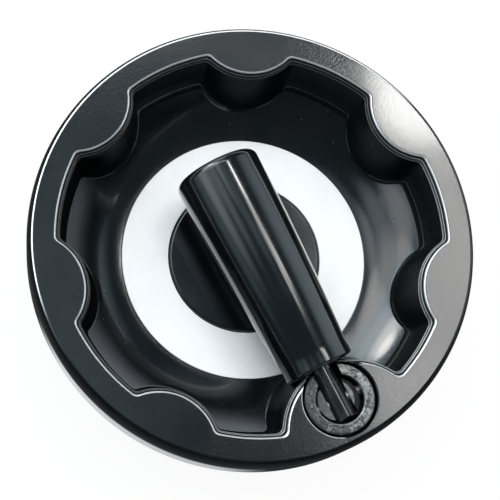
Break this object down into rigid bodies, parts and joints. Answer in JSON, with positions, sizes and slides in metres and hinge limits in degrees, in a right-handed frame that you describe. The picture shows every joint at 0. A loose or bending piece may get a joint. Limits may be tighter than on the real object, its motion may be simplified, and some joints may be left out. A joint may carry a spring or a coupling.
{
  "type": "machine handwheel",
  "caption": "Solid dished handwheel with a lobed rim, aluminium face ring and a revolving grip that folds flat into the dish.",
  "frame": {"origin": "centre of the hub's flat back face, on the bore axis", "axes": "+Z along the bore axis, toward the front; +X toward the lobe that carries the handle"},
  "size_m": [0.16, 0.16, 0.0617],
  "materials": {
    "black_moulding": "satin-gloss black phenolic moulding with a fine grain",
    "black_cap": "glossy black plastic cap",
    "black_grip": "polished black phenolic, with long soft reflections",
    "satin_aluminium": "matt anodised aluminium with a very fine grain",
    "turned_steel": "fine turned steel",
    "blackened_steel": "black oxide steel, lightly polished by use",
    "greased_zinc": "rough cast zinc, dark and greased, with bright worn spots",
    "plated_steel": "zinc plated steel",
    "spring_steel": "drawn spring steel",
    "bearing_plastic": "natural white bearing plastic"
  },
  "bodies": {
    "wheel": {"wheel_body": "black_moulding", "hub_bush": "turned_steel", "hub_set_screw": "blackened_steel", "face_ring": "satin_aluminium", "centre_cap": "black_cap", "pivot_sleeve": "greased_zinc", "pivot_fork": "greased_zinc", "hinge_pin": "turned_steel", "fork_washer": "plated_steel", "fork_nut": "plated_steel", "detent_spring": "spring_steel"},
    "detent": {"detent_plunger": "turned_steel"},
    "handle": {"spindle": "blackened_steel", "thrust_washer": "turned_steel", "spindle_clip": "spring_steel"},
    "grip_turn": {"grip": "black_grip", "grip_front_bush": "bearing_plastic", "grip_rear_bush": "bearing_plastic"}
  },
  "joints": [
    {"name": "handle_fold", "type": "hinge", "parent": "wheel", "child": "handle", "pos_m": [0.0633, 0, 0.046], "axis": [0, 1, 0], "range_deg": [0, 90]},
    {"name": "grip_spin", "type": "hinge", "parent": "handle", "child": "grip_turn", "pos_m": [0.0503, 0, 0.046], "axis": [-1, 0, 0], "continuous": true},
    {"name": "detent_press", "type": "slide", "parent": "wheel", "child": "detent", "axis": [0, 0, -1], "range_m": [0, 0.001], "stiffness_N_per_m": 400, "deforming": ["detent_spring"]}
  ]
}
